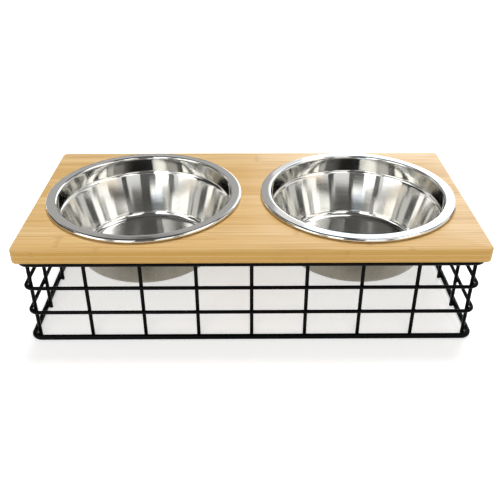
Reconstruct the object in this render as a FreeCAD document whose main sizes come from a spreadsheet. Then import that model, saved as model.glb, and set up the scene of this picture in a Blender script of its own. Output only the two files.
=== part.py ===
"""Elevated pet feeder: a bamboo board on a welded wire stand, with two steel bowls that lift out.

Millimetres, +Z up, +X along the board. The origin lies on the floor, under the board's centre.
"""

import FreeCAD
import Part
import Sketcher
import math
import os

SIZES = {
    # Bowls, each drawn from one steel sheet
    "bowl_mouth_diameter": 162.0,
    "bowl_depth": 62.0,
    "bowl_steel": 0.8,
    "bowl_rim_width": 9.9,
    "bowl_rim_height": 3.7,
    "bowl_rim_ease": 1.4,
    "bowl_shoulder_drop": 17.0,
    "bowl_shoulder_rise": 1.6,
    "bowl_shoulder_step": 1.8,
    "bowl_taper": 12.6,
    "bowl_foot_rise": 5.8,
    "bowl_foot_spread": 6.4,
    "bowl_gap": 18.2,
    "bowl_seat_gap": 0.3,
    # Bamboo board
    "board_margin": 9.1,
    "board_thickness": 13.5,
    "board_corner_radius": 5.0,
    "board_edge_ease": 1.5,
    "board_hole_clearance": 1.2,
    # Wire stand
    "stand_height": 82.5,
    "frame_wire": 4.8,
    "grid_wire": 3.3,
    "frame_inset": 1.9,
    "bend_inner_radius": 6.0,
    "upper_ring_drop": 27.5,
    "ring_spacing": 25.7,
    "upright_end_gap": 0.6,
    "weld_gap": 0.05,
    "side_upright_share": 0.53,
    # Mounting tabs and their screws
    "tab_width": 22.0,
    "tab_length": 14.0,
    "tab_thickness": 2.0,
    "tab_corner": 3.0,
    "screw_diameter": 3.5,
    "screw_length": 11.0,
    "screw_head_diameter": 7.0,
    "screw_head_height": 2.2,
    "screw_clearance": 0.3,
}

# Round stock is drawn with twelve flats, so that wires that touch meet flat on flat
STOCK_SIDES = 12
HALF_FLAT_ANGLE = 180 / STOCK_SIDES

# A wire's bend is three straight chords, so that its middle one lies square to the corner
BEND_CHORDS = 3
HALF_CHORD_ANGLE = 90 / BEND_CHORDS / 2

# The front row has four equal bays on each side of the middle
HALF_ROW_BAYS = 4

# Places and sizes that follow from the sheet, as expressions
RIM_RADIUS = "(Sizes.bowl_mouth_diameter / 2 + Sizes.bowl_rim_width)"
BOWL_X = f"({RIM_RADIUS} + Sizes.bowl_gap / 2)"
BOARD_HALF_X = f"({BOWL_X} + {RIM_RADIUS} + Sizes.board_margin)"
BOARD_HALF_Y = f"({RIM_RADIUS} + Sizes.board_margin)"
BOARD_TOP = "(Sizes.stand_height + Sizes.board_thickness)"
BAND_RADIUS = "(Sizes.bowl_mouth_diameter / 2 + Sizes.bowl_steel)"
FLANK_X = f"({BOARD_HALF_X} - Sizes.frame_inset - Sizes.frame_wire)"
FLANK_Y = f"({BOARD_HALF_Y} - Sizes.frame_inset - Sizes.frame_wire)"
UPRIGHT_X = f"({FLANK_X} - Sizes.grid_wire / 2)"
UPRIGHT_Y = f"({FLANK_Y} - Sizes.grid_wire / 2)"
BEND_RADIUS = "(Sizes.bend_inner_radius + Sizes.frame_wire / 2)"
BEND_SEAT = f"({BEND_RADIUS} * cos({HALF_CHORD_ANGLE} deg) - Sizes.frame_wire / 2 - Sizes.weld_gap)"
CORNER_REACH = f"({BEND_SEAT} - Sizes.grid_wire / 2) * sqrt(1 / 2)"
CORNER_X = f"({FLANK_X} - Sizes.bend_inner_radius + {CORNER_REACH})"
CORNER_Y = f"({FLANK_Y} - Sizes.bend_inner_radius + {CORNER_REACH})"
TAB_X = f"({CORNER_X} * (1 - 1 / (2 * {HALF_ROW_BAYS})))"
TAB_Y = f"({FLANK_Y} - Sizes.tab_length / 2)"
TAB_UNDERSIDE = "(Sizes.stand_height - Sizes.tab_thickness)"
SCREW_HOLE_RADIUS = "(Sizes.screw_diameter / 2 + Sizes.screw_clearance)"

# A sketch's own origin point and its two axis lines
ORIGIN = (-1, 1)
X_AXIS, Y_AXIS = -1, -2


def make_sheet(doc):
    """Write the driving sizes to the spreadsheet, one aliased cell each."""
    sheet = doc.addObject("Spreadsheet::Sheet", "Sizes")
    for row, (name, value) in enumerate(SIZES.items(), start=1):
        sheet.set(f"A{row}", str(value))
        sheet.setAlias(f"A{row}", name)
    doc.recompute()


def bind(item, **expressions):
    """Bind an object's properties to expressions on the sheet."""
    for name, expression in expressions.items():
        item.setExpression(name, expression)


def place(item, x="0", y="0", z="0"):
    """Bind an object's place to expressions on the sheet."""
    for axis, expression in zip("xyz", (x, y, z)):
        item.setExpression(f"Placement.Base.{axis}", expression)


def plan_sketch(body, name):
    """A sketch on the body's own XY plane."""
    sketch = body.newObject("Sketcher::SketchObject", name)
    support = next(item for item in body.Origin.OriginFeatures if item.Role == "XY_Plane")
    sketch.AttachmentSupport = [(support, "")]
    sketch.MapMode = "FlatFace"
    return sketch


def measure(sketch, kind, where, start, expression):
    """Add a dimension to a sketch and bind it."""
    index = sketch.addConstraint(Sketcher.Constraint(kind, *where, start))
    sketch.setExpression(f"Constraints[{index}]", expression)


def locate(sketch, geometry, point, axis, expression, side=1):
    """Set how far a point lies from the origin along one axis, on its positive or negative side."""
    start = abs(getattr(sketch.getPoint(geometry, point), axis.lower()))
    ends = [ORIGIN, (geometry, point)][::side]
    measure(sketch, f"Distance{axis}", (*ends[0], *ends[1]), start, expression)


def circle(sketch, x, y, radius, x_side=1, y_side=1):
    """A circle about a point given by expressions; None for one of them keeps it on the other axis."""
    spread = SIZES["bowl_mouth_diameter"] / 2
    centre = FreeCAD.Vector(x_side * spread if x else 0, y_side * spread if y else 0, 0)
    start = SIZES["screw_diameter"]
    item = sketch.addGeometry(Part.Circle(centre, FreeCAD.Vector(0, 0, 1), start))
    for axis, distance, side, line in (("X", x, x_side, Y_AXIS), ("Y", y, y_side, X_AXIS)):
        if distance:
            locate(sketch, item, 3, axis, distance, side)
        else:
            sketch.addConstraint(Sketcher.Constraint("PointOnObject", item, 3, line))
    measure(sketch, "Radius", (item,), start, radius)


def inscribe(sketch, arc, chords):
    """Draw equal chords along an arc, which stays as a construction line."""
    sketch.setConstruction(arc, True)
    curve = sketch.Geometry[arc]
    turn = (curve.LastParameter - curve.FirstParameter) / chords
    stops = [curve.value(curve.FirstParameter + turn * stop) for stop in range(chords + 1)]
    lines = list(sketch.addGeometry([Part.LineSegment(*ends) for ends in zip(stops, stops[1:])]))
    sketch.addConstraint(Sketcher.Constraint("Coincident", lines[0], 1, arc, 1))
    sketch.addConstraint(Sketcher.Constraint("Coincident", lines[-1], 2, arc, 2))
    for line, following in zip(lines, lines[1:]):
        sketch.addConstraint(Sketcher.Constraint("Coincident", line, 2, following, 1))
        sketch.addConstraint(Sketcher.Constraint("PointOnObject", line, 2, arc))
        sketch.addConstraint(Sketcher.Constraint("Equal", line, following))


def rounded_rectangle(sketch, half_x, half_y, radius, chords=0):
    """Four lines and four tangent arcs, or chords along them, about the origin."""
    x = SIZES["bowl_mouth_diameter"]
    y = x / 2
    r = SIZES["bend_inner_radius"]
    starts = [(r - x, -y), (x, r - y), (x - r, y), (-x, y - r)]
    stops = [(x - r, -y), (x, y - r), (r - x, y), (-x, r - y)]
    centres = [(x - r, r - y), (x - r, y - r), (r - x, y - r), (r - x, r - y)]
    geometry = []
    for side, (start, stop, centre) in enumerate(zip(starts, stops, centres)):
        bend = Part.Circle(FreeCAD.Vector(*centre, 0), FreeCAD.Vector(0, 0, 1), r)
        geometry.append(Part.LineSegment(FreeCAD.Vector(*start, 0), FreeCAD.Vector(*stop, 0)))
        geometry.append(Part.ArcOfCircle(bend, (side - 1) * math.pi / 2, side * math.pi / 2))
    items = list(sketch.addGeometry(geometry))
    for side in range(4):
        line, arc, following = items[2 * side], items[2 * side + 1], items[(2 * side + 2) % 8]
        sketch.addConstraint(Sketcher.Constraint("Tangent", line, 2, arc, 1))
        sketch.addConstraint(Sketcher.Constraint("Tangent", arc, 2, following, 1))
        sketch.addConstraint(Sketcher.Constraint("Vertical" if side % 2 else "Horizontal", line))
        if side:
            sketch.addConstraint(Sketcher.Constraint("Equal", items[1], arc))
    sketch.addConstraint(Sketcher.Constraint("Symmetric", items[0], 1, items[4], 1, *ORIGIN))
    measure(sketch, "Radius", (items[1],), r, radius)
    locate(sketch, items[2], 1, "X", half_x)
    locate(sketch, items[4], 1, "Y", half_y)
    if chords:
        for arc in items[1::2]:
            inscribe(sketch, arc, chords)


def make_board(doc):
    """The bamboo board: a rounded panel with two bowl holes, pilot holes below and eased edges."""
    body = doc.addObject("PartDesign::Body", "bamboo_top")
    outline = plan_sketch(body, "BoardOutline")
    rounded_rectangle(outline, BOARD_HALF_X, BOARD_HALF_Y, "Sizes.board_corner_radius")
    for side in (-1, 1):
        circle(outline, BOWL_X, None, f"{BAND_RADIUS} + Sizes.board_hole_clearance", side)
    panel = body.newObject("PartDesign::Pad", "BoardPanel")
    panel.Profile = outline
    bind(panel, Length="Sizes.board_thickness")
    doc.recompute()

    pilots = plan_sketch(body, "PilotHoles")
    for x_side in (-1, 1):
        for y_side in (-1, 1):
            circle(pilots, TAB_X, TAB_Y, SCREW_HOLE_RADIUS, x_side, y_side)
    drilled = body.newObject("PartDesign::Pocket", "PilotPockets")
    drilled.Profile = pilots
    drilled.Reversed = True
    bind(drilled, Length="Sizes.screw_length - Sizes.tab_thickness + Sizes.screw_clearance")
    doc.recompute()
    if drilled.Shape.Volume >= panel.Shape.Volume:
        raise RuntimeError("the pilot holes cut nothing")

    faces = sorted(drilled.Shape.Faces, key=lambda face: face.Area)[-2:]
    rim = [edge for face in faces for edge in face.OuterWire.Edges]
    names = [f"Edge{index}" for index, edge in enumerate(drilled.Shape.Edges, start=1)
             if any(edge.isSame(other) for other in rim)]
    eased = body.newObject("PartDesign::Chamfer", "BoardEase")
    eased.Base = (drilled, names)
    bind(eased, Size="Sizes.board_edge_ease")
    place(body, z="Sizes.stand_height")
    return [body]


def make_bowl_section(doc):
    """The sheet's section: its underside from the axis out to the turned-down rim, then thickened."""
    wall_top = f"({BAND_RADIUS} - Sizes.bowl_shoulder_step)"
    wall_foot = f"({wall_top} - Sizes.bowl_taper)"
    band_foot = "(Sizes.bowl_depth - Sizes.bowl_shoulder_drop)"
    rim_underside = "(Sizes.bowl_depth - Sizes.bowl_steel)"
    skirt_radius = f"({RIM_RADIUS} - Sizes.bowl_steel)"
    points = [
        (f"{wall_foot} - Sizes.bowl_foot_spread", None),
        (wall_foot, "Sizes.bowl_foot_rise"),
        (wall_top, f"{band_foot} - Sizes.bowl_shoulder_rise"),
        (BAND_RADIUS, band_foot),
        (BAND_RADIUS, rim_underside),
        (f"{skirt_radius} - Sizes.bowl_rim_ease", rim_underside),
        (skirt_radius, f"{rim_underside} - Sizes.bowl_rim_ease"),
        (skirt_radius, "Sizes.bowl_depth - Sizes.bowl_rim_height"),
    ]
    path = doc.addObject("Sketcher::SketchObject", "BowlUnderside")
    step = SIZES["bowl_rim_width"]
    for index, (radius, height) in enumerate(points):
        first = FreeCAD.Vector(index * step, index * step, 0)
        second = FreeCAD.Vector((index + 1) * step, (index + 1) * step, 0)
        line = path.addGeometry(Part.LineSegment(first, second))
        before = (line - 1, 2) if index else ORIGIN
        path.addConstraint(Sketcher.Constraint("Coincident", line, 1, *before))
        locate(path, line, 2, "X", radius)
        if height:
            locate(path, line, 2, "Y", height)
        else:
            path.addConstraint(Sketcher.Constraint("PointOnObject", line, 2, X_AXIS))
    sheet = doc.addObject("Part::Offset2D", "BowlSheet")
    sheet.Source = path
    sheet.Mode = "Skin"
    sheet.Join = "Intersection"
    sheet.Fill = True
    bind(sheet, Value="-Sizes.bowl_steel")
    return sheet


def make_bowls(doc):
    """Two drawn bowls that rest by their rims in the board's holes."""
    section = make_bowl_section(doc)
    bowls = []
    for name, sign in (("left_bowl", "-"), ("right_bowl", "")):
        bowl = doc.addObject("Part::Revolution", name)
        bowl.Source = section
        bowl.Axis = FreeCAD.Vector(0, 1, 0)
        bowl.Angle = 360
        bowl.Placement.Rotation = FreeCAD.Rotation(FreeCAD.Vector(1, 0, 0), 90)
        rest = f"{BOARD_TOP} + Sizes.bowl_seat_gap + Sizes.bowl_rim_height - Sizes.bowl_depth"
        place(bowl, f"{sign}{BOWL_X}", "0", rest)
        bowls.append(bowl)
    return bowls


def stock_radius(diameter):
    """The corner radius of round stock whose flats lie a diameter apart."""
    return f"{diameter} / 2 / cos({HALF_FLAT_ANGLE} deg)"


def make_rings(doc):
    """Four closed wire rings, bent at the corners: two of frame wire and two of grid wire."""
    turn_to_x = FreeCAD.Rotation(FreeCAD.Vector(0, 1, 0), 90)
    flats_square = FreeCAD.Rotation(FreeCAD.Vector(0, 0, 1), HALF_FLAT_ANGLE)
    upper = "Sizes.stand_height - Sizes.upper_ring_drop"
    heights = {
        "frame_wire": {
            "top_ring": "Sizes.stand_height - Sizes.frame_wire / 2",
            "base_ring": "Sizes.frame_wire / 2",
        },
        "grid_wire": {
            "upper_ring": upper,
            "lower_ring": f"{upper} - Sizes.ring_spacing",
        },
    }
    rings = []
    for wire, places in heights.items():
        half = f"Sizes.{wire} / 2"
        path = doc.addObject("Sketcher::SketchObject", f"{wire}_path")
        bend = f"Sizes.bend_inner_radius + {half}"
        rounded_rectangle(path, f"{FLANK_X} + {half}", f"{FLANK_Y} + {half}", bend, BEND_CHORDS)
        doc.recompute()
        runs = [f"Edge{index}" for index in range(1, len(path.Shape.Edges) + 1)]
        section = doc.addObject("Part::RegularPolygon", f"{wire}_section")
        section.Polygon = STOCK_SIDES
        section.Placement.Rotation = turn_to_x.multiply(flats_square)
        bind(section, Circumradius=stock_radius(f"Sizes.{wire}"))
        place(section, y=f"-({FLANK_Y} + {half})")
        for name, height in places.items():
            ring = doc.addObject("Part::Sweep", name)
            ring.Sections = [section]
            ring.Spine = (path, runs)
            ring.Solid = True
            ring.Transition = "Right corner"
            place(ring, z=height)
            rings.append(ring)
    return rings


def make_uprights(doc):
    """Straight grid wires welded inside the rings, one nested in each bend."""
    rows = {}
    row = range(1 - HALF_ROW_BAYS, HALF_ROW_BAYS)
    for number, bay in enumerate(row, start=1):
        x = f"{CORNER_X} * {bay} / {HALF_ROW_BAYS}"
        rows[f"front_upright_{number}"] = (x, f"-{UPRIGHT_Y}")
        rows[f"rear_upright_{number}"] = (x, UPRIGHT_Y)
    for number, bay in enumerate((-1, 0, 1), start=1):
        y = f"{CORNER_Y} * Sizes.side_upright_share * {bay}"
        rows[f"left_upright_{number}"] = (f"-{UPRIGHT_X}", y)
        rows[f"right_upright_{number}"] = (UPRIGHT_X, y)
    corners = {
        "front_left_corner_upright": (f"-{CORNER_X}", f"-{CORNER_Y}"),
        "front_right_corner_upright": (CORNER_X, f"-{CORNER_Y}"),
        "rear_left_corner_upright": (f"-{CORNER_X}", CORNER_Y),
        "rear_right_corner_upright": (CORNER_X, CORNER_Y),
    }
    uprights = []
    for name, (x, y) in {**rows, **corners}.items():
        upright = doc.addObject("Part::Prism", name)
        upright.Polygon = STOCK_SIDES
        if name in rows:
            upright.Placement.Rotation = FreeCAD.Rotation(FreeCAD.Vector(0, 0, 1), HALF_FLAT_ANGLE)
        bind(upright, Circumradius=stock_radius("Sizes.grid_wire"))
        bind(upright, Height="Sizes.stand_height - 2 * Sizes.upright_end_gap")
        place(upright, x, y, "Sizes.upright_end_gap")
        uprights.append(upright)
    return uprights


def tab_places():
    """Each tab's name and the place of its middle in plan."""
    for y_name, y_sign in (("front", "-"), ("rear", "")):
        for x_name, x_sign in (("left", "-"), ("right", "")):
            yield f"{y_name}_{x_name}", f"{x_sign}{TAB_X}", f"{y_sign}{TAB_Y}"


def make_tabs(doc):
    """Small plates welded to the inside of the top ring, each with a screw hole."""
    tabs = []
    for name, x, y in tab_places():
        body = doc.addObject("PartDesign::Body", f"{name}_tab")
        outline = plan_sketch(body, f"{name}_tab_outline")
        rounded_rectangle(outline, "Sizes.tab_width / 2", "Sizes.tab_length / 2", "Sizes.tab_corner", 1)
        circle(outline, None, None, SCREW_HOLE_RADIUS)
        plate = body.newObject("PartDesign::Pad", f"{name}_tab_plate")
        plate.Profile = outline
        bind(plate, Length="Sizes.tab_thickness")
        place(body, x, y, TAB_UNDERSIDE)
        tabs.append(body)
    return tabs


def make_screws(doc):
    """Four screws driven up through the tabs into the board, as one group."""
    screws = []
    for name, x, y in tab_places():
        shank = doc.addObject("Part::Prism", f"{name}_screw_shank")
        head = doc.addObject("Part::Prism", f"{name}_screw_head")
        for piece, diameter in ((shank, "screw_diameter"), (head, "screw_head_diameter")):
            piece.Polygon = STOCK_SIDES
            bind(piece, Circumradius=stock_radius(f"Sizes.{diameter}"))
        bind(shank, Height="Sizes.screw_length + Sizes.screw_head_height")
        bind(head, Height="Sizes.screw_head_height")
        screw = doc.addObject("Part::Fuse", f"{name}_screw")
        screw.Base = head
        screw.Tool = shank
        place(screw, x, y, f"{TAB_UNDERSIDE} - Sizes.screw_head_height")
        screws.append(screw)
    group = doc.addObject("Part::Compound", "tab_screws")
    group.Links = screws
    return [group]


def check(doc, parts):
    """Stop if any object failed or any part's shape is missing or unsound."""
    for item in doc.Objects:
        if {"Invalid", "Error"} & set(item.State):
            raise RuntimeError(f"{item.Label} failed: {item.State}")
    for part in parts:
        if part.Shape.isNull() or not part.Shape.isValid() or not part.Shape.Solids:
            raise RuntimeError(f"{part.Label} has no sound solid")


def main():
    doc = FreeCAD.newDocument("elevated_pet_feeder")
    make_sheet(doc)
    parts = make_board(doc) + make_bowls(doc) + make_rings(doc) + make_uprights(doc)
    parts += make_tabs(doc) + make_screws(doc)
    doc.recompute()
    check(doc, parts)
    os.makedirs("parts", exist_ok=True)
    for part in parts:
        part.Shape.exportStep(f"parts/{part.Label}.step")
        print(f"{part.Label}: {len(part.Shape.Solids)} solid, {part.Shape.Volume:.1f} cubic mm")


main()
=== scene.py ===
# %% [markdown]
# # Elevated pet feeder
# A bamboo board carries two drawn steel bowls on a stand of welded, powder-coated wire.
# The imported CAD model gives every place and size, so each piece below is made over its CAD node.
# Lengths are in metres in Blender, and the small lengths are written in millimetres.

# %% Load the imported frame
import math

import bmesh
import bpy
from bmesh.types import BMEdge, BMFace, BMVert
from mathutils import Matrix, Vector


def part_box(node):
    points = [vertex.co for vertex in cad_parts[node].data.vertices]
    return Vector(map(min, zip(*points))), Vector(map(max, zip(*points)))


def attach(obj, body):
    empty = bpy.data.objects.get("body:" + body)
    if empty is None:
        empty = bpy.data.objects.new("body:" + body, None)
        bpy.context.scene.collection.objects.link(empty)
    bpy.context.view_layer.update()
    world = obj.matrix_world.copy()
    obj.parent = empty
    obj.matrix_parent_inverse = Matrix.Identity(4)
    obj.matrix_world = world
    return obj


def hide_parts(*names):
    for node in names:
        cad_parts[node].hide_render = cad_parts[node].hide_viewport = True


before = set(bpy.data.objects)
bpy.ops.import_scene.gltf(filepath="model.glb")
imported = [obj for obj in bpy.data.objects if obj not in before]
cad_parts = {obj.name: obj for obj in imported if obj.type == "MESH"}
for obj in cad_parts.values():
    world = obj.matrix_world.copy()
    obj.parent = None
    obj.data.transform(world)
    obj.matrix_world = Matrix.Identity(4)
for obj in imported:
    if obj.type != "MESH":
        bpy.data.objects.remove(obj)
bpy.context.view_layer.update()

MM = 0.001

# %% [markdown]
# ## Camera
# The photograph looks down at the long side from about half a metre.
# A camera could be aimed with a constraint, but one matrix that turns, tilts and rolls it says exactly
# where it stands, and the same numbers give the same frame every time.

# %% Camera
camera = bpy.data.objects.new("camera", bpy.data.cameras.new("camera"))
bpy.context.scene.collection.objects.link(camera)
bpy.context.scene.camera = camera
camera.data.sensor_width = 36
camera.data.lens = 47.57
camera.data.clip_start = 0.01
STAND_POINT_MM = Vector((-3.57, -560.41, 378.83))
DOWN, TURN, ROLL = 31.563, -0.268, -0.077  # degrees
look_down = Matrix.Rotation(math.radians(90 - DOWN), 4, "X")
turn_right = Matrix.Rotation(math.radians(TURN), 4, "Z")
roll = Matrix.Rotation(math.radians(ROLL), 4, "Z")
stand_point = Matrix.Translation(STAND_POINT_MM * MM)
camera.matrix_world = stand_point @ turn_right @ look_down @ roll
print("camera at", tuple(round(v, 3) for v in camera.matrix_world.translation))

# %% [markdown]
# ## Two small helpers for materials
# Colours are written as the sRGB hex values that a paint card or a picture shows, and Blender wants linear
# light, so one function turns the first into the second. Node trees are easier to read as code
# when each node is one line, so one function adds a node with its settings, values and links.


# %% Colour and node helpers
def colour(hex_value):
    """Linear colour of an sRGB hex value."""
    shades = [int(hex_value[i:i + 2], 16) / 255 for i in (1, 3, 5)]
    return (*[s / 12.92 if s < 0.04045 else ((s + 0.055) / 1.055) ** 2.4 for s in shades], 1)


def add(tree, kind, sockets=None, **settings):
    """Add a node: settings are its properties, and sockets take a value or another node's output."""
    item = tree.nodes.new(kind)
    for name, value in settings.items():
        setattr(item, name, value)
    for socket, value in (sockets or {}).items():
        if isinstance(value, bpy.types.NodeSocket):
            tree.links.new(value, item.inputs[socket])
        else:
            item.inputs[socket].default_value = value
    return item


def new_material(name):
    """An empty material and its node tree."""
    material = bpy.data.materials.new(name)
    material.use_nodes = True
    material.node_tree.nodes.clear()
    return material, material.node_tree


print("mid grey #808080 is", round(colour("#808080")[0], 3), "in linear light")

# %% [markdown]
# ## Bamboo, glued from staves, sanded and lacquered
# The board is pressed from bamboo strips: long staves side by side on the top, and thin layers that show
# as lines along the edge. Fibres run along X, so every pattern is stretched that way. A ready wood texture
# would draw rings, which bamboo lacks, so the figure is built from stave numbers and stretched noise.
# The lacquer is satin: it takes a soft sheen but no sharp reflection.

# %% Bamboo: stave and layer numbers
bamboo, tree = new_material("bamboo_sanded_satin_lacquer")
STAVE_MM = 19.0
LAYER_MM = 4.5
WANDER_MM = 160
DRIFT_MM = 1.2
place = add(tree, "ShaderNodeTexCoord").outputs["Object"]
in_mm = add(tree, "ShaderNodeMapping", {"Vector": place, "Scale": (1 / MM, 1 / MM, 1 / MM)})
axes = add(tree, "ShaderNodeSeparateXYZ", {0: in_mm.outputs[0]})
# Staves wander a little, as strips that were split and planed by machine do
wander = add(tree, "ShaderNodeTexNoise", {"Vector": in_mm.outputs[0], "Scale": 1 / WANDER_MM, "Detail": 0})
drift = add(tree, "ShaderNodeMath", {0: wander.outputs["Fac"], 1: DRIFT_MM, 2: axes.outputs["Y"]},
            operation="MULTIPLY_ADD")
stave_place = add(tree, "ShaderNodeMath", {0: drift.outputs[0], 1: STAVE_MM}, operation="DIVIDE")
stave = add(tree, "ShaderNodeMath", {0: stave_place.outputs[0]}, operation="FLOOR")
layer_place = add(tree, "ShaderNodeMath", {0: axes.outputs["Z"], 1: LAYER_MM}, operation="DIVIDE")
layer = add(tree, "ShaderNodeMath", {0: layer_place.outputs[0]}, operation="FLOOR")
number = add(tree, "ShaderNodeCombineXYZ", {"X": stave.outputs[0], "Y": layer.outputs[0]})
chance = add(tree, "ShaderNodeTexWhiteNoise", {"Vector": number.outputs[0]}, noise_dimensions="2D")
print("staves of", STAVE_MM, "mm in layers of", LAYER_MM, "mm")

# %% Bamboo: fibres, broad figure and stave tone
# Fibre bundles are about 0.7 mm across; they are drawn wider to show at this distance
FIBRE_MM = Vector((110, 2, 2))
FIGURE_MM = Vector((240, 4.5, 4.5))
fibre_map = add(tree, "ShaderNodeMapping", {"Vector": in_mm.outputs[0], "Scale": [1 / v for v in FIBRE_MM]})
fibre = add(tree, "ShaderNodeTexNoise", {"Vector": fibre_map.outputs[0], "Scale": 1, "Detail": 3})
figure_map = add(tree, "ShaderNodeMapping", {"Vector": in_mm.outputs[0], "Scale": [1 / v for v in FIGURE_MM]})
figure = add(tree, "ShaderNodeTexNoise", {"Vector": figure_map.outputs[0], "Scale": 1, "Detail": 2})
tone = add(tree, "ShaderNodeMix", {"Factor": chance.outputs["Value"], "A": colour("#d6ad67"),
                                   "B": colour("#e7c58c")}, data_type="RGBA")
figure_ramp = add(tree, "ShaderNodeMapRange", {"Value": figure.outputs["Fac"], "From Min": 0.35,
                                               "From Max": 0.65, "To Max": 0.45})
figured = add(tree, "ShaderNodeMix", {"Factor": figure_ramp.outputs[0], "A": tone.outputs[2],
                                      "B": colour("#d3a45f")}, data_type="RGBA")
fibre_ramp = add(tree, "ShaderNodeMapRange", {"Value": fibre.outputs["Fac"], "From Min": 0.5, "From Max": 0.7,
                                              "To Max": 0.65})
fibred = add(tree, "ShaderNodeMix", {"Factor": fibre_ramp.outputs[0], "A": figured.outputs[2],
                                     "B": colour("#b98749")}, data_type="RGBA")
print("fibres", FIBRE_MM.y, "mm wide on a figure of", FIGURE_MM.y, "mm")

# %% Bamboo: golden sawn edge with its pale layer lines
GOLD_SHARE = 0.8
LAYER_LINE_MM = 0.6
facing = add(tree, "ShaderNodeSeparateXYZ", {0: add(tree, "ShaderNodeNewGeometry").outputs["Normal"]})
flatness = add(tree, "ShaderNodeMath", {0: facing.outputs["Z"]}, operation="ABSOLUTE")
on_edge = add(tree, "ShaderNodeMapRange", {"Value": flatness.outputs[0], "From Min": 0.35, "From Max": 0.8,
                                           "To Min": 1.0, "To Max": 0.0})
gilding = add(tree, "ShaderNodeMath", {0: on_edge.outputs[0], 1: GOLD_SHARE}, operation="MULTIPLY")
golden = add(tree, "ShaderNodeMix", {"Factor": gilding.outputs[0], "A": fibred.outputs[2],
                                     "B": colour("#c9962f")}, data_type="RGBA")
layer_near = add(tree, "ShaderNodeMath", {0: layer_place.outputs[0], 1: 0.5}, operation="PINGPONG")
layer_line = add(tree, "ShaderNodeMapRange", {"Value": layer_near.outputs[0], "From Min": 0.0,
                                              "From Max": LAYER_LINE_MM / LAYER_MM,
                                              "To Min": 0.4, "To Max": 0.0})
edge_line = add(tree, "ShaderNodeMath", {0: layer_line.outputs[0], 1: on_edge.outputs[0]},
                operation="MULTIPLY")
edged = add(tree, "ShaderNodeMix", {"Factor": edge_line.outputs[0], "A": golden.outputs[2],
                                    "B": colour("#ead29a")}, data_type="RGBA")
print("edge lines", LAYER_LINE_MM, "mm to either side of each layer's joint")

# %% Bamboo: glue lines and the knuckles of the cane
# A glue line is a hair wide and darker in some joints than in others; it is drawn wider to show
GLUE_MM = 0.5
KNUCKLE_MM = 260
RAGGED = 0.07
joint = add(tree, "ShaderNodeMath", {0: stave_place.outputs[0]}, operation="ROUND")
joint_chance = add(tree, "ShaderNodeTexWhiteNoise", {"W": joint.outputs[0]}, noise_dimensions="1D")
edge_near = add(tree, "ShaderNodeMath", {0: stave_place.outputs[0], 1: 0.5}, operation="PINGPONG")
line_here = add(tree, "ShaderNodeMapRange", {"Value": edge_near.outputs[0], "From Min": 0.0,
                                             "From Max": GLUE_MM / STAVE_MM, "To Min": 0.7, "To Max": 0.0})
on_top = add(tree, "ShaderNodeMath", {0: 1.0, 1: on_edge.outputs[0]}, operation="SUBTRACT")
line_depth = add(tree, "ShaderNodeMath", {0: joint_chance.outputs["Value"], 1: on_top.outputs[0]},
                 operation="MULTIPLY")
stave_line = add(tree, "ShaderNodeMath", {0: line_here.outputs[0], 1: line_depth.outputs[0]},
                 operation="MULTIPLY")
shift = add(tree, "ShaderNodeMath", {0: axes.outputs["X"], 1: 1 / KNUCKLE_MM, 2: chance.outputs["Value"]},
            operation="MULTIPLY_ADD")
knuckle_place = add(tree, "ShaderNodeMath", {0: shift.outputs[0], 1: 0.5}, operation="PINGPONG")
ragged = add(tree, "ShaderNodeMath", {0: fibre.outputs["Fac"], 1: RAGGED, 2: knuckle_place.outputs[0]},
             operation="MULTIPLY_ADD")
knuckle = add(tree, "ShaderNodeMapRange", {"Value": ragged.outputs[0], "From Min": 0.032, "From Max": 0.046,
                                           "To Min": 0.27, "To Max": 0.0})
marks = add(tree, "ShaderNodeMath", {0: stave_line.outputs[0], 1: knuckle.outputs[0]}, operation="MAXIMUM")
marked = add(tree, "ShaderNodeMix", {"Factor": marks.outputs[0], "A": edged.outputs[2],
                                     "B": colour("#94652f")}, data_type="RGBA")
print("a knuckle every", KNUCKLE_MM, "mm of a stave")

# %% Bamboo: satin lacquer
sheen_change = add(tree, "ShaderNodeMapRange", {"Value": fibre.outputs["Fac"], "To Min": 0.3, "To Max": 0.42})
relief = add(tree, "ShaderNodeBump", {"Height": fibre.outputs["Fac"], "Strength": 0.12, "Distance": 0.1 * MM})
surface = add(tree, "ShaderNodeBsdfPrincipled", {"Base Color": marked.outputs[2],
                                                 "Roughness": sheen_change.outputs[0],
                                                 "Normal": relief.outputs[0]})
add(tree, "ShaderNodeOutputMaterial", {"Surface": surface.outputs[0]})
print("bamboo:", len(tree.nodes), "nodes")

# %% [markdown]
# ## Stainless steel, drawn and polished
# The bowls are pressed from stainless sheet and polished while they turn, which leaves very fine rings round
# the axis. Such a surface is a mirror along the rings and soft across them, so a window becomes an upright
# streak on the wall. Rings could be drawn as relief, but they are far too fine to see, so the shader's own
# anisotropy does it: the tangent runs round each bowl's axis, and a quarter turn lays the streaks across it.

# %% Polished steel
steel, tree = new_material("stainless_steel_drawn_and_polished")
BOWL_X_MM = 100.0
place = add(tree, "ShaderNodeTexCoord").outputs["Object"]
in_mm = add(tree, "ShaderNodeMapping", {"Vector": place, "Scale": (1 / MM, 1 / MM, 1 / MM)})
axes = add(tree, "ShaderNodeSeparateXYZ", {0: in_mm.outputs[0]})
bowl_side = add(tree, "ShaderNodeMath", {0: axes.outputs["X"]}, operation="SIGN")
across = add(tree, "ShaderNodeMath", {0: bowl_side.outputs[0], 1: -BOWL_X_MM, 2: axes.outputs["X"]},
             operation="MULTIPLY_ADD")
flat_place = add(tree, "ShaderNodeCombineXYZ", {"X": across.outputs[0], "Y": axes.outputs["Y"]})
round_axis = add(tree, "ShaderNodeVectorMath", {0: (0, 0, 1), 1: flat_place.outputs[0]},
                 operation="CROSS_PRODUCT")
radius = add(tree, "ShaderNodeVectorMath", {0: flat_place.outputs[0]}, operation="LENGTH")
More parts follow.
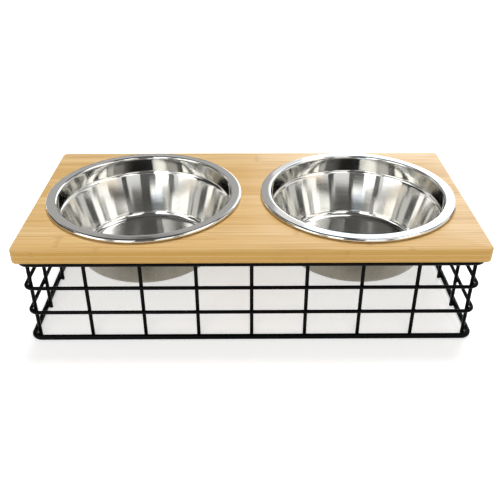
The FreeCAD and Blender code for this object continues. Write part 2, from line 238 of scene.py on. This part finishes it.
ring_place = add(tree, "ShaderNodeCombineXYZ", {"X": radius.outputs["Value"], "Y": axes.outputs["Z"]})
# Polishing rings are a few hundredths of a millimetre apart; they are drawn further apart to show
RING_MM = 0.6
rings = add(tree, "ShaderNodeTexNoise", {"Vector": ring_place.outputs[0], "Scale": 1 / RING_MM, "Detail": 2},
            noise_dimensions="2D")
# The sheet is never quite even: long waves bend the reflections
WAVE_MM = 25
waves = add(tree, "ShaderNodeTexNoise", {"Vector": in_mm.outputs[0], "Scale": 1 / WAVE_MM, "Detail": 1})
softness = add(tree, "ShaderNodeMapRange", {"Value": rings.outputs["Fac"], "From Min": 0.3, "From Max": 0.7,
                                            "To Min": 0.08, "To Max": 0.12})
# The upright band and the rim above the shoulder are buffed once more, so they mirror more sharply
SHOULDER_MM = 83.0
BLEND_MM = 0.5
buffed = add(tree, "ShaderNodeMapRange", {"Value": axes.outputs["Z"], "From Min": SHOULDER_MM - BLEND_MM,
                                          "From Max": SHOULDER_MM + BLEND_MM, "To Min": 1.0, "To Max": 0.5})
polish = add(tree, "ShaderNodeMath", {0: softness.outputs[0], 1: buffed.outputs[0]}, operation="MULTIPLY")
wavy = add(tree, "ShaderNodeBump", {"Height": waves.outputs["Fac"], "Strength": 0.1, "Distance": 0.8 * MM})
ringed = add(tree, "ShaderNodeBump", {"Height": rings.outputs["Fac"], "Strength": 0.02, "Distance": 0.1 * MM,
                                      "Normal": wavy.outputs[0]})
surface = add(tree, "ShaderNodeBsdfPrincipled", {"Base Color": colour("#dddcd8"), "Metallic": 1,
                                                 "Roughness": polish.outputs[0], "Anisotropic": 0.95,
                                                 "Anisotropic Rotation": 0.25,
                                                 "Tangent": round_axis.outputs[0],
                                                 "Normal": ringed.outputs[0]})
add(tree, "ShaderNodeOutputMaterial", {"Surface": surface.outputs[0]})
print("steel:", len(tree.nodes), "nodes")

# %% [markdown]
# ## Stainless steel, as drawn, with painted shade
# Only the side that shows is polished. The outside keeps the satin skin that the press leaves, with faint
# upright draw lines, and its grey is painted darker than steel as painted shade for the part below the board,
# where the board shades it, so below the board the bowls look dull and dark. Sharing the mirror material
# would make them as bright as the floor. The lines are noise that hardly changes with the height.

# %% Drawn steel, darkened as painted shade
drawn_steel_painted_shade, tree = new_material("stainless_steel_as_drawn_painted_shade")
DRAW_LINE_MM = Vector((9, 9, 200))
place = add(tree, "ShaderNodeTexCoord").outputs["Object"]
line_map = add(tree, "ShaderNodeMapping", {"Vector": place, "Scale": [1 / (v * MM) for v in DRAW_LINE_MM]})
draw_lines = add(tree, "ShaderNodeTexNoise", {"Vector": line_map.outputs[0], "Scale": 1, "Detail": 2})
# Painted shade: both greys are darker than steel, for the shade below the board; the noise between them draws
# the draw lines
skin_and_painted_shade = add(tree, "ShaderNodeMix", {"Factor": draw_lines.outputs["Fac"], "A": colour("#837f73"),
                                   "B": colour("#989487")}, data_type="RGBA")
softness = add(tree, "ShaderNodeMapRange", {"Value": draw_lines.outputs["Fac"],
                                            "To Min": 0.22, "To Max": 0.34})
surface = add(tree, "ShaderNodeBsdfPrincipled", {"Base Color": skin_and_painted_shade.outputs[2], "Metallic": 1,
                                                 "Roughness": softness.outputs[0]})
add(tree, "ShaderNodeOutputMaterial", {"Surface": surface.outputs[0]})
print("drawn steel:", len(tree.nodes), "nodes")

# %% [markdown]
# ## Powder coat on steel wire
# Black powder is baked on the welded stand. It melts to an even skin with a slight orange peel, which breaks
# the highlights on the bends. The peel could be modelled, but it is finer than the wire's mesh, so it is
# only a bump. The colour is a near-black that varies very slightly where the coat is thin.

# %% Powder coat
coat, tree = new_material("black_powder_coat")
PEEL_MM = 1.1
THIN_MM = 14
place = add(tree, "ShaderNodeTexCoord").outputs["Object"]
peel = add(tree, "ShaderNodeTexNoise", {"Vector": place, "Scale": 1 / (PEEL_MM * MM), "Detail": 1})
thin = add(tree, "ShaderNodeTexNoise", {"Vector": place, "Scale": 1 / (THIN_MM * MM), "Detail": 2})
shade = add(tree, "ShaderNodeMix", {"Factor": thin.outputs["Fac"], "A": colour("#030304"),
                                    "B": colour("#080808")}, data_type="RGBA")
gloss = add(tree, "ShaderNodeMapRange", {"Value": thin.outputs["Fac"], "To Min": 0.24, "To Max": 0.34})
peeled = add(tree, "ShaderNodeBump", {"Height": peel.outputs["Fac"], "Strength": 0.25, "Distance": 0.1 * MM})
surface = add(tree, "ShaderNodeBsdfPrincipled", {"Base Color": shade.outputs[2],
                                                 "Roughness": gloss.outputs[0],
                                                 "Specular IOR Level": 0.05,
                                                 "Normal": peeled.outputs[0]})
add(tree, "ShaderNodeOutputMaterial", {"Surface": surface.outputs[0]})
print("powder coat:", len(tree.nodes), "nodes")

# %% [markdown]
# ## Zinc plate on the screws
# The screws are bought parts with a thin bright zinc plate. They could share the bowls' steel, but the plate
# is duller and a little mottled, so noise changes both its tone and its gloss.

# %% Zinc plate
zinc, tree = new_material("zinc_plated_steel")
MOTTLE_MM = 1.5
place = add(tree, "ShaderNodeTexCoord").outputs["Object"]
mottle = add(tree, "ShaderNodeTexNoise", {"Vector": place, "Scale": 1 / (MOTTLE_MM * MM), "Detail": 2})
shade = add(tree, "ShaderNodeMix", {"Factor": mottle.outputs["Fac"], "A": colour("#b9bab8"),
                                    "B": colour("#d3d3cd")}, data_type="RGBA")
gloss = add(tree, "ShaderNodeMapRange", {"Value": mottle.outputs["Fac"], "To Min": 0.25, "To Max": 0.45})
surface = add(tree, "ShaderNodeBsdfPrincipled", {"Base Color": shade.outputs[2], "Metallic": 1,
                                                 "Roughness": gloss.outputs[0]})
add(tree, "ShaderNodeOutputMaterial", {"Surface": surface.outputs[0]})
print("zinc:", len(tree.nodes), "nodes")

# %% [markdown]
# ## From a bmesh to a piece
# Every piece ends the same way: its mesh becomes an object with a material, it rides a body, and it stands
# for the CAD nodes that it replaces. Doing this in one place keeps the cells below about shape alone.
# Two more helpers serve them: bmesh operators return vertices, edges and faces in one list, which has to be
# sorted, and many steps pick edges by how far they climb.

# %% Pick edges and finish a piece
MERGE = 0.01 * MM
LEVEL = 0.1 * MM


def only(kind, geom):
    """The elements of one kind in what a bmesh operator returns."""
    return [item for item in geom if isinstance(item, kind)]


def climb(edge):
    """The height between an edge's ends."""
    return abs(edge.verts[0].co.z - edge.verts[1].co.z)


def make_object(bm, name, materials):
    """Turn a bmesh into an object in the scene."""
    mesh = bpy.data.meshes.new(name)
    bm.to_mesh(mesh)
    bm.free()
    for material in materials:
        mesh.materials.append(material)
    made = bpy.data.objects.new(name, mesh)
    bpy.context.scene.collection.objects.link(made)
    return made


def finish_piece(bm, name, body, materials, nodes=(), sharp_angle=40):
    """Make a bmesh a smooth piece that rides a body and replaces CAD nodes, if any."""
    piece = make_object(bm, name, materials)
    piece.data.shade_smooth()
    piece.data.set_sharp_from_angle(angle=math.radians(sharp_angle))
    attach(piece, body)
    if nodes:
        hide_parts(*nodes)
    print(name, "has", len(piece.data.polygons), "faces")


print("points closer than", MERGE / MM, "mm are merged")

# %% [markdown]
# ## Bamboo board
# The board is a panel with rounded corners and two round holes. A Boolean cut would leave long thin
# triangles round the holes. Here each half is a square with a hole in its middle, so a circle and a square
# outline with as many points are bridged, which gives even quads, and the half is mirrored.

# %% Board: one half, bridged and mirrored
HOLE_RADIUS_MM = 83.0
HOLE_STEPS = 128
board_low, board_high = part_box("bamboo_top")
half_board = board_high.y
bowl_x = board_high.x - half_board
bm = bmesh.new()
middle = Matrix.Translation((bowl_x, 0, board_low.z))
bmesh.ops.create_grid(bm, x_segments=1, y_segments=1, size=half_board, matrix=middle)
bmesh.ops.delete(bm, geom=bm.faces[:], context="FACES_ONLY")
bmesh.ops.subdivide_edges(bm, edges=bm.edges[:], cuts=HOLE_STEPS // 4 - 1)
eighth = Matrix.Rotation(math.radians(45), 4, "Z")
bmesh.ops.create_circle(bm, segments=HOLE_STEPS, radius=HOLE_RADIUS_MM * MM, matrix=middle @ eighth)
bmesh.ops.bridge_loops(bm, edges=bm.edges[:])
bmesh.ops.mirror(bm, geom=bm.verts[:] + bm.edges[:] + bm.faces[:], axis="X", merge_dist=MERGE)
bmesh.ops.remove_doubles(bm, verts=bm.verts, dist=MERGE)
bmesh.ops.recalc_face_normals(bm, faces=bm.faces)
print("board plan:", len(bm.faces), "quads")

# %% Board: thickness, corners and eased edges
CORNER_MM = 5.0
EASE_MM = 1.6
SQUARE_SLACK = 0.1  # radians
lifted = bmesh.ops.extrude_face_region(bm, geom=bm.faces[:])["geom"]
rise = board_high.z - board_low.z
bmesh.ops.translate(bm, vec=(0, 0, rise), verts=only(BMVert, lifted))
upright_edges = [e for e in bm.edges if climb(e) > rise / 2]
corners = [e for e in upright_edges if abs(e.verts[0].co.x) > board_high.x - MM
           and abs(e.verts[0].co.y) > half_board - MM]
bmesh.ops.bevel(bm, geom=corners, offset=CORNER_MM * MM, affect="EDGES", segments=8, profile=0.5, material=-1)
rims = [e for e in bm.edges if e.is_manifold and climb(e) < LEVEL
        and abs(e.calc_face_angle() - math.pi / 2) < SQUARE_SLACK]
bmesh.ops.bevel(bm, geom=rims, offset=EASE_MM * MM, affect="EDGES", segments=4, profile=0.5, material=-1)
bmesh.ops.recalc_face_normals(bm, faces=bm.faces)
finish_piece(bm, "board", "stand", [bamboo], ["bamboo_top"])

# %% [markdown]
# ## Drawn bowls
# A bowl is one steel sheet: a flat floor, a round foot, a sloping wall, a small shoulder, an upright band and
# a rim that is turned over and rolled under. It could be sculpted from a cylinder, but a turned shape is
# simplest as a line that is spun round its axis. The line's corners are bevelled first, so the reflections
# flow round every bend, and the sheet gets its thickness last. Each straight run has a point close to its two
# bends: smooth shading would otherwise spread the bend over the whole run and warp what it mirrors.

# %% Bowl section
# Radius, height and bend of each corner of the sheet's underside, in mm; a point with no bend ends the line
# or only supports the shading
BOWL_CORNERS = [(0, 0, 0), (57, 0, 0), (65.4, 0, 5.5), (67.79, 7.11, 0), (79.2, 41.03, 0), (80, 43.4, 1.1),
                (81.8, 45, 1.1), (81.8, 47.2, 0), (81.8, 58.9, 0), (81.8, 61.2, 1.2), (84, 61.12, 0),
                (88.3, 60.965, 0), (90.1, 60.9, 0.84), (90.1, 59.2, 0.84), (88.2, 59.2, 0)]
bowl_bm = bmesh.new()
path = [bowl_bm.verts.new((r * MM, 0, h * MM)) for r, h, _ in BOWL_CORNERS]
for first, second in zip(path, path[1:]):
    bowl_bm.edges.new((first, second))
for corner, (_, _, bend) in zip(path, BOWL_CORNERS):
    if bend:
        bmesh.ops.bevel(bowl_bm, geom=[corner], offset=bend * MM, affect="VERTICES", segments=6,
                        profile=0.5, material=-1)
print("bowl section:", len(bowl_bm.verts), "points")

# %% Bowl: spin the section and give the sheet its thickness
BOWL_STEPS = 192
SHEET_MM = 0.8
RIM_FOOT_MM = 58.0
bmesh.ops.spin(bowl_bm, geom=bowl_bm.verts[:] + bowl_bm.edges[:], axis=(0, 0, 1), cent=(0, 0, 0),
               angle=2 * math.pi, steps=BOWL_STEPS, use_merge=True)
bmesh.ops.remove_doubles(bowl_bm, verts=bowl_bm.verts, dist=MERGE)
bmesh.ops.recalc_face_normals(bowl_bm, faces=bowl_bm.faces)
# Faces below the rim take the drawn steel, whose darker grey is painted shade
for face in bowl_bm.faces:
    if face.calc_center_median().z < RIM_FOOT_MM * MM:
        face.material_index = 1
inside = bmesh.ops.solidify(bowl_bm, geom=bowl_bm.faces[:], thickness=-SHEET_MM * MM)["geom"]
for face in only(BMFace, inside):
    face.material_index = 0
bmesh.ops.recalc_face_normals(bowl_bm, faces=bowl_bm.faces)
print("bowl:", len(bowl_bm.faces), "faces,", round(max(v.co.z for v in bowl_bm.verts) / MM, 2), "mm high")

# %% Bowls: one in each hole
for name in ("left_bowl", "right_bowl"):
    low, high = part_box(name)
    bm = bowl_bm.copy()
    bmesh.ops.translate(bm, vec=((low.x + high.x) / 2, (low.y + high.y) / 2, low.z), verts=bm.verts)
    finish_piece(bm, name + "_sheet", name, [steel, drawn_steel_painted_shade], [name], sharp_angle=60)
bowl_bm.free()

# %% [markdown]
# ## Bent wire rings
# Four closed rings of round wire hold the stand together: two thick ones at the top and the foot, two thin
# ones between. A curve with a round bevel would do, but the export needs a mesh, so a circle is carried
# along the way of the wire: spun through each bend and extruded along each straight run, and welded shut.

# %% Rings
WIRE_SIDES = 20
BEND_STEPS = 12
BEND_INNER_MM = 6.0


def bend_ring(bm, half_x, half_y, z, wire):
    """Carry a circle round a rectangle with bent corners."""
    bend = BEND_INNER_MM * MM + wire / 2
    side_x, side_y = half_x - bend, half_y - bend
    start = Matrix.Translation((side_x, -half_y, z)) @ Matrix.Rotation(math.radians(90), 4, "Y")
    bmesh.ops.create_circle(bm, segments=WIRE_SIDES, radius=wire / 2, matrix=start)
    end = bm.verts[:] + bm.edges[:]
    runs = [((side_x, -side_y), (0, 2 * side_y, 0)), ((side_x, side_y), (-2 * side_x, 0, 0)),
            ((-side_x, side_y), (0, -2 * side_y, 0)), ((-side_x, -side_y), (2 * side_x, 0, 0))]
    for (x, y), run in runs:
        turned = bmesh.ops.spin(bm, geom=end, axis=(0, 0, 1), cent=(x, y, z), angle=math.pi / 2,
                                steps=BEND_STEPS)["geom_last"]
        drawn = bmesh.ops.extrude_edge_only(bm, edges=only(BMEdge, turned))["geom"]
        end = only((BMVert, BMEdge), drawn)
        bmesh.ops.translate(bm, vec=run, verts=only(BMVert, end))
    bmesh.ops.remove_doubles(bm, verts=bm.verts, dist=MERGE)
    bmesh.ops.recalc_face_normals(bm, faces=bm.faces)


ring_places = {}
for name in ("top_ring", "upper_ring", "lower_ring", "base_ring"):
    low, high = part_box(name)
    wire, z = high.z - low.z, (low.z + high.z) / 2
    bm = bmesh.new()
    bend_ring(bm, high.x - wire / 2, high.y - wire / 2, z, wire)
    ring_places[name] = (z, wire)
    finish_piece(bm, name + "_wire", "stand", [coat], [name], sharp_angle=60)

# %% [markdown]
# ## Straight uprights
# Straight wires stand inside the rings, and one is nested in each bend. A circle could be extruded upwards,
# but a cone primitive with equal ends comes with its caps. Cut wire has a small burr that is tumbled off, so
# the end edges are bevelled.

# %% Uprights
GRID_WIRE_MM = 3.3
ROD_EASE_MM = 0.4
uprights = [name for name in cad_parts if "upright" in name]
for name in uprights:
    low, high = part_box(name)
    bm = bmesh.new()
    bmesh.ops.create_cone(bm, cap_ends=True, segments=WIRE_SIDES, radius1=GRID_WIRE_MM * MM / 2,
                          radius2=GRID_WIRE_MM * MM / 2, depth=high.z - low.z,
                          matrix=Matrix.Translation((low + high) / 2))
    ends = [e for e in bm.edges if climb(e) < LEVEL]
    bmesh.ops.bevel(bm, geom=ends, offset=ROD_EASE_MM * MM, affect="EDGES", segments=2,
                    profile=0.5, material=-1)
    finish_piece(bm, name + "_rod", "stand", [coat], [name])

# %% [markdown]
# ## Resistance welds
# Where two wires were pressed together and welded, a little metal is squeezed out and the powder rounds it
# over. Each weld is a small flattened sphere between the ring and the upright. There are many, so each
# has few faces, and all the welds of one ring make one piece.

# %% Welds
NUGGET_MM = (0.9, 1.9, 1.9)
flattened = Matrix.Diagonal((*[v * MM for v in NUGGET_MM], 1))
for ring, (z, wire) in ring_places.items():
    bm = bmesh.new()
    _, ring_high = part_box(ring)
    for name in uprights:
        low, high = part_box(name)
        rod = (low + high) / 2
        if "corner" in name:
            bend_x = math.copysign(ring_high.x - wire - BEND_INNER_MM * MM, rod.x)
            bend_y = math.copysign(ring_high.y - wire - BEND_INNER_MM * MM, rod.y)
            out = Vector((rod.x - bend_x, rod.y - bend_y, 0)).normalized()
        elif "front" in name or "rear" in name:
            out = Vector((0, math.copysign(1, rod.y), 0))
        else:
            out = Vector((math.copysign(1, rod.x), 0, 0))
        touch = Vector((rod.x, rod.y, z)) + out * GRID_WIRE_MM * MM / 2
        turn = out.to_track_quat("X", "Z").to_matrix().to_4x4()
        nugget = Matrix.Translation(touch) @ turn @ flattened
        bmesh.ops.create_icosphere(bm, subdivisions=2, radius=1, matrix=nugget)
    finish_piece(bm, ring + "_welds", "stand", [coat], sharp_angle=180)

# %% [markdown]
# ## Tabs under the board
# Four small plates inside the top ring take the screws that hold the board. A flat outline could be drawn
# and extruded, but a cube stretched to the CAD plate's box needs only two bevels: one rounds its corners in
# plan, and one softens the edges of its top and bottom.

# %% Tabs
TAB_CORNER_MM = 3.0
TAB_EASE_MM = 0.35


def add_box(bm, low, high):
    """A cube stretched between two corner points."""
    stretch = Matrix.Diagonal((*(high - low), 1))
    bmesh.ops.create_cube(bm, size=1, matrix=Matrix.Translation((low + high) / 2) @ stretch)


tabs = [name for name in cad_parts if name.endswith("_tab")]
for name in tabs:
    bm = bmesh.new()
    add_box(bm, *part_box(name))
    upright_edges = [e for e in bm.edges if climb(e) > LEVEL]
    bmesh.ops.bevel(bm, geom=upright_edges, offset=TAB_CORNER_MM * MM, affect="EDGES", segments=6,
                    profile=0.5, material=-1)
    flat_edges = [e for e in bm.edges if climb(e) < LEVEL]
    bmesh.ops.bevel(bm, geom=flat_edges, offset=TAB_EASE_MM * MM, affect="EDGES", segments=2,
                    profile=0.5, material=-1)
    finish_piece(bm, name + "_plate", "stand", [coat], [name])

# %% [markdown]
# ## Screws
# A pan-head screw goes up through each tab into the board, and only the heads show, from below.
# The face of the head starts as a small grid: its plus-shaped middle is pushed in for the driver. The ring
# round it is filled, and its edge is then extruded step by step round the head and up the shank.

# %% One screw
RECESS_HALF_MM = 1.6
RECESS_DEPTH_MM = 1.2
RECESS_TAPER = 0.7
FACE_RADIUS_MM = 2.3
# Radius and height of each step round the head, up the shank and to the tip
SCREW_STEPS_MM = [(3.0, 0.3), (3.4, 0.9), (3.5, 1.6), (3.5, 2.2), (1.75, 2.2), (1.75, 12.2), (0.3, 13.1)]
bm = bmesh.new()
bmesh.ops.create_grid(bm, x_segments=3, y_segments=3, size=RECESS_HALF_MM * MM)
by_distance = sorted(bm.faces, key=lambda face: face.calc_center_median().length)
plus, spare = by_distance[:5], by_distance[5:]
bmesh.ops.delete(bm, geom=spare, context="FACES")
cross = [e for e in bm.edges if e.is_boundary]
bmesh.ops.create_circle(bm, segments=24, radius=FACE_RADIUS_MM * MM)
loop = [e for e in bm.edges if e.is_wire]
bmesh.ops.triangle_fill(bm, use_beauty=True, edges=cross + loop)
sunk = only(BMVert, bmesh.ops.extrude_face_region(bm, geom=plus)["geom"])
bmesh.ops.delete(bm, geom=plus, context="FACES")
bmesh.ops.translate(bm, vec=(0, 0, RECESS_DEPTH_MM * MM), verts=sunk)
bmesh.ops.scale(bm, vec=(RECESS_TAPER, RECESS_TAPER, 1), verts=sunk)
for reach, height in SCREW_STEPS_MM:
    drawn = bmesh.ops.extrude_edge_only(bm, edges=loop)["geom"]
    loop = [e for e in only(BMEdge, drawn) if e.is_boundary]
    ring = only(BMVert, drawn)
    grow = reach * MM / ring[0].co.xy.length
    bmesh.ops.scale(bm, vec=(grow, grow, 1), verts=ring)
    bmesh.ops.translate(bm, vec=(0, 0, height * MM - ring[0].co.z), verts=ring)
bmesh.ops.contextual_create(bm, geom=loop)
bmesh.ops.recalc_face_normals(bm, faces=bm.faces)
print("screw:", len(bm.faces), "faces")

# %% Screws: one through each tab
screws_low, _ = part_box("tab_screws")
one_screw = bm.verts[:] + bm.edges[:] + bm.faces[:]
first, *others = [(low + high) / 2 for low, high in map(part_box, tabs)]
for spot in others:
    copied = bmesh.ops.duplicate(bm, geom=one_screw)["geom"]
    bmesh.ops.translate(bm, vec=(spot.x, spot.y, screws_low.z), verts=only(BMVert, copied))
bmesh.ops.translate(bm, vec=(first.x, first.y, screws_low.z), verts=only(BMVert, one_screw))
finish_piece(bm, "screws", "stand", [zinc], ["tab_screws"])

# %% [markdown]
# ## Floor and backdrop
# The photograph has a white studio floor that still holds a soft shadow. A plain white diffuse floor would
# render light grey, so the floor is part diffuse, which takes the shadow, and part its own light, which only
# the camera and reflections see. The world is white for them as well, and gives the object a softer, weaker
# light.

# %% Floor
SHADE_SHARE = 0.9
OWN_LIGHT = 0.53
FLOOR_RADIUS = 6


def seen_directly(tree):
    """1 for what the camera sees, also in a mirror or through glass, and 0 for the light on things."""
    ray = add(tree, "ShaderNodeLightPath").outputs
    mirrored = add(tree, "ShaderNodeMath", {0: ray["Is Camera Ray"], 1: ray["Is Glossy Ray"]},
                   operation="MAXIMUM")
    seen = add(tree, "ShaderNodeMath", {0: mirrored.outputs[0], 1: ray["Is Transmission Ray"]},
               operation="MAXIMUM")
    return seen.outputs[0]


floor_finish, tree = new_material("white_studio_floor")
own_light = add(tree, "ShaderNodeMath", {0: seen_directly(tree), 1: OWN_LIGHT}, operation="MULTIPLY")
shaded = add(tree, "ShaderNodeBsdfDiffuse", {"Color": (SHADE_SHARE, SHADE_SHARE, SHADE_SHARE, 1)})
glow = add(tree, "ShaderNodeEmission", {"Strength": own_light.outputs[0]})
both = add(tree, "ShaderNodeAddShader", {0: shaded.outputs[0], 1: glow.outputs[0]})
add(tree, "ShaderNodeOutputMaterial", {"Surface": both.outputs[0]})
bm = bmesh.new()
bmesh.ops.create_circle(bm, cap_ends=True, segments=64, radius=FLOOR_RADIUS)
floor = make_object(bm, "floor", [floor_finish])
print("floor: radius", FLOOR_RADIUS, "m, own light", OWN_LIGHT)

# %% World
world = bpy.data.worlds.new("white_studio")
bpy.context.scene.world = world
world.use_nodes = True
tree = world.node_tree
tree.nodes.clear()
AMBIENT = 0.24
brightness = add(tree, "ShaderNodeMapRange", {"Value": seen_directly(tree), "To Min": AMBIENT, "To Max": 1})
white = add(tree, "ShaderNodeBackground", {"Strength": brightness.outputs[0], "Color": (1, 1, 1, 1)})
add(tree, "ShaderNodeOutputWorld", {"Surface": white.outputs[0]})
print("world: ambient", AMBIENT)

# %% [markdown]
# ## Studio light
# A large soft light stands high behind the feeder, and a weaker one fills the front.
# Sun lamps with a wide angle light the whole floor evenly, where area lamps would fade towards the back.
# They are hidden from reflections, because the cards below give the steel all that it mirrors.

# %% Key and fill light
# Name, way to the lamp, strength and spread in degrees
LAMPS = [("key", (0.1, 0.45, 1), 2.25, 26), ("fill", (-0.1, -1, 0.7), 1.05, 40)]
for name, toward, strength, spread in LAMPS:
    lamp = bpy.data.objects.new(name, bpy.data.lights.new(name, "SUN"))
    bpy.context.scene.collection.objects.link(lamp)
    lamp.data.energy = strength
    lamp.data.angle = math.radians(spread)
    lamp.visible_glossy = False
    lamp.matrix_world = Vector(toward).to_track_quat("Z", "Y").to_matrix().to_4x4()
    print(name, "light: strength", strength)
# Standard shows colours as they were set, where a film curve would grey the white floor
bpy.context.scene.view_settings.view_transform = "Standard"

# %% [markdown]
# ## Studio cards
# Polished steel shows whatever stands round it, so a studio is shaped with cards: dark ones draw the crisp
# dark bands in the bowls, and bright ones light the rims on the right. A picture of a room wrapped round the
# world would do the same in one node, but cards are easy to move one at a time. Each card is a thin cube
# between two corner points. Only reflections see the cards, so they change neither the light on the wood nor
# the view. The dark block at the back of each upright band is the dark ceiling card, mirrored by the wall and
# the floor.


# %% Cards
def set_card(name, corners, level, tint="#ffffff"):
    """A flat card between two corner points, seen by reflections alone, with its brightness and tint."""
    finish, tree = new_material(name)
    light = add(tree, "ShaderNodeEmission", {"Strength": level, "Color": colour(tint)})
    add(tree, "ShaderNodeOutputMaterial", {"Surface": light.outputs[0]})
    bm = bmesh.new()
    add_box(bm, *[Vector(corner) for corner in corners])
    card = make_object(bm, name, [finish])
    card.visible_camera = card.visible_diffuse = card.visible_shadow = card.visible_transmission = False
    print(name, "level", level)


# Ceiling: one dim card, with a dark one and brighter ones just below it
set_card("card_ceiling", ((-1.2, -1.2, 1.4), (1.2, 1.55, 1.41)), 0.14)
set_card("card_ceiling_dark", ((-0.8, 0.3, 1.38), (0.2, 0.85, 1.39)), 0.01)
set_card("card_ceiling_lamp", ((0.22, 0.18, 1.38), (0.95, 0.65, 1.39)), 2.6)
set_card("card_ceiling_right", ((0.62, -0.4, 1.38), (1.1, 0.17, 1.39)), 0.9)
set_card("card_ceiling_left", ((-0.95, -0.66, 1.38), (-0.4, -0.36, 1.39)), 1.0)
# Overhead: two lamps and the dark gap between them
set_card("card_overhead_left", ((-0.7, -1.1, 1.2), (-0.24, -0.62, 1.21)), 3.0)
set_card("card_overhead_dark", ((-0.23, -1.1, 1.2), (0.23, -0.55, 1.21)), 0.02)
set_card("card_overhead_right", ((0.24, -1.1, 1.2), (0.7, -0.62, 1.21)), 3.0)
# Front: a window, with dark and pale walls beside it
set_card("card_front_middle", ((-0.22, -0.91, 0.0), (0.14, -0.9, 0.9)), 0.12)
set_card("card_front_pale", ((0.15, -0.91, 0.0), (0.45, -0.9, 0.9)), 1.0)
set_card("card_front_window", ((-0.55, -0.91, 0.0), (-0.23, -0.9, 0.9)), 2.2)
set_card("card_front_left", ((-0.73, -0.91, 0.0), (-0.56, -0.9, 0.9)), 0.2)
set_card("card_front_right", ((0.53, -0.91, 0.0), (0.7, -0.9, 0.9)), 0.08)
# Left: a window, a dark strip and a bright card above them
set_card("card_left_window", ((-0.91, -0.9, 0.0), (-0.9, -0.26, 0.9)), 2.1)
set_card("card_left_strip", ((-0.91, -0.25, 0.0), (-0.9, 0.6, 0.9)), 0.05)
set_card("card_left_high", ((-0.96, -0.8, 0.92), (-0.95, 0.3, 1.35)), 2.4)
# Right: the same with a warmer window and a pale wall
set_card("card_right_high", ((0.95, -0.8, 0.92), (0.96, 0.3, 1.35)), 2.8)
set_card("card_right_window", ((0.9, -0.9, 0.0), (0.91, -0.21, 0.9)), 1.3, "#fff2e0")
set_card("card_right_pale", ((0.9, -0.2, 0.0), (0.91, 0.28, 0.4)), 1.0)
set_card("card_right_strip", ((0.9, 0.3, 0.0), (0.91, 0.6, 0.4)), 0.05)
set_card("card_right_top", ((0.9, -0.2, 0.65), (0.91, 0.6, 0.9)), 0.05)
# Back: dark on the left, a bright window on the right
set_card("card_back_dark", ((-1.6, 1.5, 0.25), (0.04, 1.51, 0.58)), 0.1)
set_card("card_back_left", ((-1.6, 1.5, 0.6), (0.04, 1.51, 1.2)), 0.5)
set_card("card_back_top", ((-1.6, 1.5, 1.2), (0.16, 1.51, 1.4)), 0.02)
set_card("card_back_low", ((0.06, 1.5, 0.12), (1.1, 1.51, 0.39)), 4.0)
set_card("card_back_right", ((0.16, 1.5, 0.4), (1.1, 1.51, 1.3)), 2.4, "#deecff")
